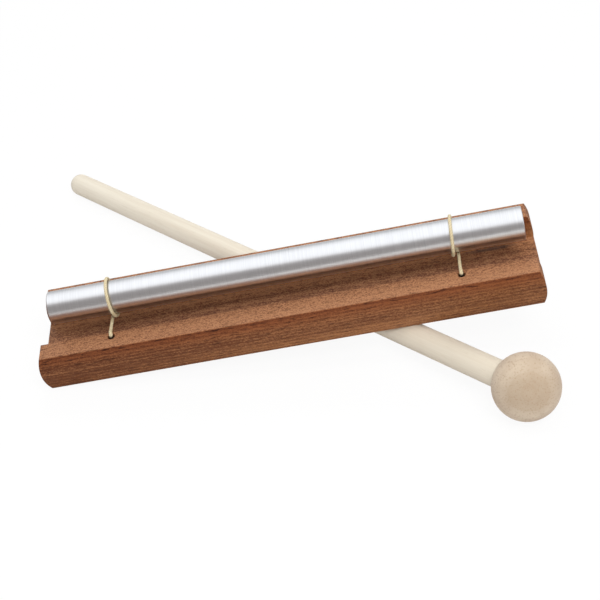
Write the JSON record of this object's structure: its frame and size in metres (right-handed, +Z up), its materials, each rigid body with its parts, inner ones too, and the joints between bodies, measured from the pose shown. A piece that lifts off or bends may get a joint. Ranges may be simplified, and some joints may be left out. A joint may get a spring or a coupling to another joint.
{
  "type": "energy chime",
  "caption": "Tabletop chime: a metal rod hung on cord loops over the channel of a wooden base that leans on its ball-headed mallet, struck to ring.",
  "frame": {"origin": "on the floor, under the middle of the bounding box of the chime leaning on its mallet", "axes": "+Z up from the floor, +X along the base in plan towards its raised right end, +Y to the rear, away from the mallet's head"},
  "size_m": [0.2164, 0.2022, 0.0597],
  "materials": {
    "base_wood": "reddish brown open-pored hardwood, satin oiled",
    "rod_metal": "finely brushed bare metal",
    "cord": "thin cream waxed cord",
    "handle_wood": "pale sanded birch",
    "head_wood": "pale pinkish beech, sanded"
  },
  "bodies": {
    "base": {"wooden_base": "base_wood", "left_front_knot": "cord", "left_rear_knot": "cord", "right_front_knot": "cord", "right_rear_knot": "cord"},
    "cords": {"left_cord": "cord", "right_cord": "cord"},
    "rod": {"chime_rod": "rod_metal"},
    "mallet": {"mallet_handle": "handle_wood", "mallet_head": "head_wood"}
  },
  "joints": [
    {"name": "rod_bounce", "type": "slide", "parent": "base", "child": "cords", "axis": [-0.1165, -0.0751, 0.9903], "range_m": [-0.003, 0.002], "stiffness_N_per_m": 600, "springref_m": 0.00139, "deforming": ["left_cord", "right_cord"]},
    {"name": "rod_slide", "type": "slide", "parent": "cords", "child": "rod", "axis": [0.9932, 0, 0.1168], "range_m": [-0.022, 0.018]},
    {"name": "mallet_draw", "type": "slide", "parent": "base", "child": "mallet", "axis": [0.7326, -0.6799, 0.0323], "range_m": [0, 0.24]}
  ]
}
